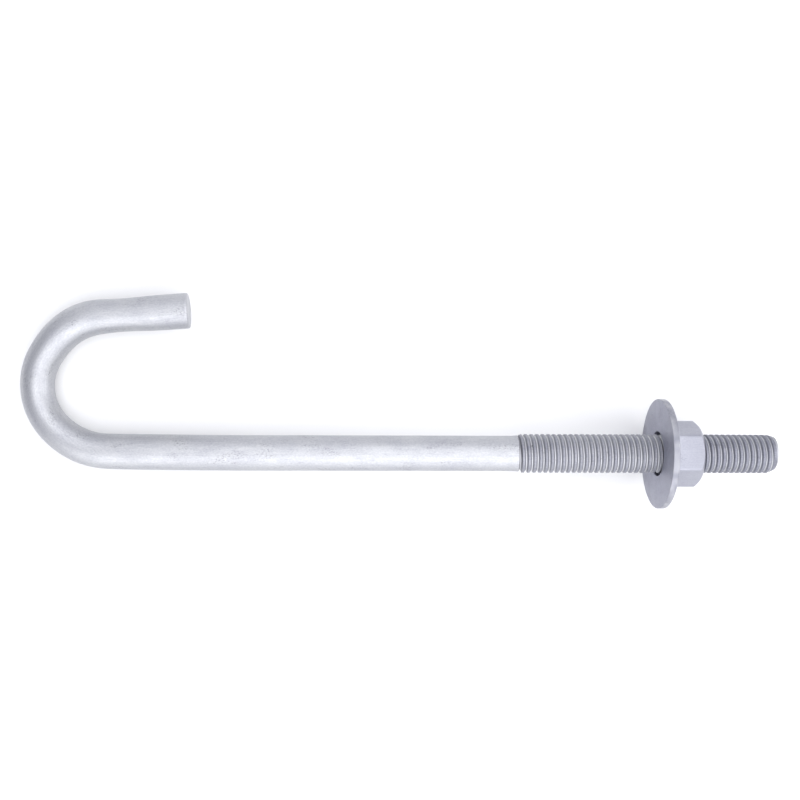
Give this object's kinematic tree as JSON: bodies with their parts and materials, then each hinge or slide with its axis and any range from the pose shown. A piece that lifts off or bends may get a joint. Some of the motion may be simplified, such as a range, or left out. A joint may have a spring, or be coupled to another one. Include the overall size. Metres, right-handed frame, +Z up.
{
  "type": "hooked foundation bolt",
  "caption": "Round steel rod bent to a J-shaped hook at one end and threaded at the other, with a wide flat washer and a hexagon nut on the thread.",
  "frame": {"origin": "centre of the bounding box's underside: the floor on which the bolt has come to rest, on the washer's rim and the back of the hook", "axes": "+X along the shank's line on the floor, from the hook to the threaded end; +Y from the shank to the hook's arm; +Z up. The shank itself rises 3.5 degrees towards the washer"},
  "size_m": [0.3046, 0.0864, 0.0446],
  "materials": {
    "galvanised_rod": "hot-dip galvanised, satin",
    "galvanised_washer": "hot-dip galvanised, matt",
    "galvanised_nut": "hot-dip galvanised, satin"
  },
  "bodies": {
    "bolt": {"hook_bolt": "galvanised_rod"},
    "washer": {"flat_washer": "galvanised_washer"},
    "nut": {"hex_nut": "galvanised_nut"}
  },
  "joints": [
    {"name": "washer_slide", "type": "slide", "parent": "bolt", "child": "washer", "axis": [0.9981, 0, 0.062], "range_m": [-0.0579, 0.04241]},
    {"name": "nut_turn", "type": "hinge", "parent": "washer", "child": "nut", "pos_m": [0.11394, -0.02094, 0.02282], "axis": [0.9981, 0, 0.062], "range_deg": [-9026, 6610]}
  ],
  "couplings": [
    {"joint": "washer_slide", "follows": "nut_turn", "m_per_rad": 0.0003675}
  ]
}
